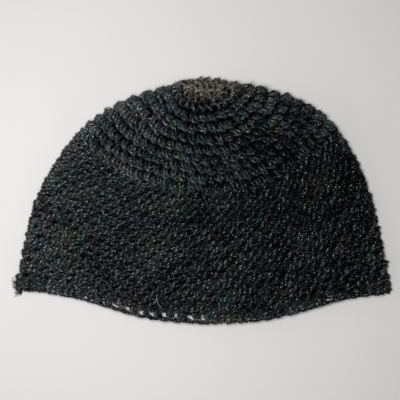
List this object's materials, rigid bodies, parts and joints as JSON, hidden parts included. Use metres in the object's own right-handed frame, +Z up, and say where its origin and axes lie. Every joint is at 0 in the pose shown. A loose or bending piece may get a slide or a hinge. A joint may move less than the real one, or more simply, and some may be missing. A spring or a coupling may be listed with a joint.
{
  "type": "crocheted skull cap",
  "caption": "Soft crocheted skull cap lying on its side: ridged round crown, textured side wall and an open rim with a row of eyelets above a scalloped edge.",
  "frame": {"origin": "on the surface that the cap lies on, under the middle of its outline", "axes": "+X along the rim from the left fold to the right one, +Y towards the crown with the open rim towards -Y, +Z up off the surface"},
  "size_m": [0.2658, 0.1734, 0.0558],
  "materials": {
    "crown_yarn": "plied yarn in ridged rounds, soft sheen, faded slightly brown at the middle",
    "side_yarn": "plied yarn in a close brick-like stitch, soft sheen",
    "edging_yarn": "plied yarn chain, slightly fuzzy"
  },
  "bodies": {
    "root": {"crown": "crown_yarn", "side_wall": "side_yarn", "rim_edging": "edging_yarn", "yarn_tail": "edging_yarn"}
  },
  "joints": []
}
